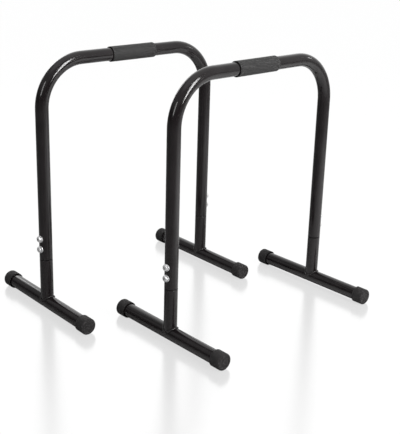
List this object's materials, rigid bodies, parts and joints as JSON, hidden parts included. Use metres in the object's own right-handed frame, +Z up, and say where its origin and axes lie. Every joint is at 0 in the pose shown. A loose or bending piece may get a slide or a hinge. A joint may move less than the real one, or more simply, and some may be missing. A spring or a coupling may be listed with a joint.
{
  "type": "dip station",
  "caption": "Free-standing parallel dip bars: inverted-U steel tube stands bolted to straight cross feet, with rubber end caps and foam hand grips.",
  "frame": {"origin": "on the floor, at the middle of the pair's overall box", "axes": "+Z up; +Y along the crossbars, from the legs with their feet nearer the viewer to the far legs; +X from the left stand to the right stand, along the cross feet"},
  "size_m": [0.8188, 0.8164, 0.7645],
  "materials": {
    "black_powder_coat": "gloss black powder coat",
    "bare_steel": "bare turned steel, lightly oiled",
    "zinc_plate": "bright zinc plate",
    "cap_rubber": "matte moulded rubber",
    "grip_foam": "matte closed-cell foam"
  },
  "bodies": {
    "left_stand": {"left_handle_tube": "black_powder_coat", "left_foam_grip": "grip_foam", "left_front_upright": "black_powder_coat", "left_front_joining_sleeve": "black_powder_coat", "left_front_weld": "black_powder_coat", "left_front_foot_tube": "black_powder_coat", "left_front_outer_cap": "cap_rubber", "left_front_inner_cap": "cap_rubber", "left_front_bolts": "zinc_plate", "left_front_washers": "zinc_plate", "left_front_weld_nuts": "bare_steel", "left_rear_upright": "black_powder_coat", "left_rear_joining_sleeve": "black_powder_coat", "left_rear_weld": "black_powder_coat", "left_rear_foot_tube": "black_powder_coat", "left_rear_outer_cap": "cap_rubber", "left_rear_inner_cap": "cap_rubber", "left_rear_bolts": "zinc_plate", "left_rear_washers": "zinc_plate", "left_rear_weld_nuts": "bare_steel"},
    "right_stand": {"right_handle_tube": "black_powder_coat", "right_foam_grip": "grip_foam", "right_front_upright": "black_powder_coat", "right_front_joining_sleeve": "black_powder_coat", "right_front_weld": "black_powder_coat", "right_front_foot_tube": "black_powder_coat", "right_front_outer_cap": "cap_rubber", "right_front_inner_cap": "cap_rubber", "right_front_bolts": "zinc_plate", "right_front_washers": "zinc_plate", "right_front_weld_nuts": "bare_steel", "right_rear_upright": "black_powder_coat", "right_rear_joining_sleeve": "black_powder_coat", "right_rear_weld": "black_powder_coat", "right_rear_foot_tube": "black_powder_coat", "right_rear_outer_cap": "cap_rubber", "right_rear_inner_cap": "cap_rubber", "right_rear_bolts": "zinc_plate", "right_rear_washers": "zinc_plate", "right_rear_weld_nuts": "bare_steel"}
  },
  "joints": [
    {"name": "stand_spacing", "type": "slide", "parent": "left_stand", "child": "right_stand", "axis": [1, 0, 0], "range_m": [-0.075, 0.325]}
  ]
}
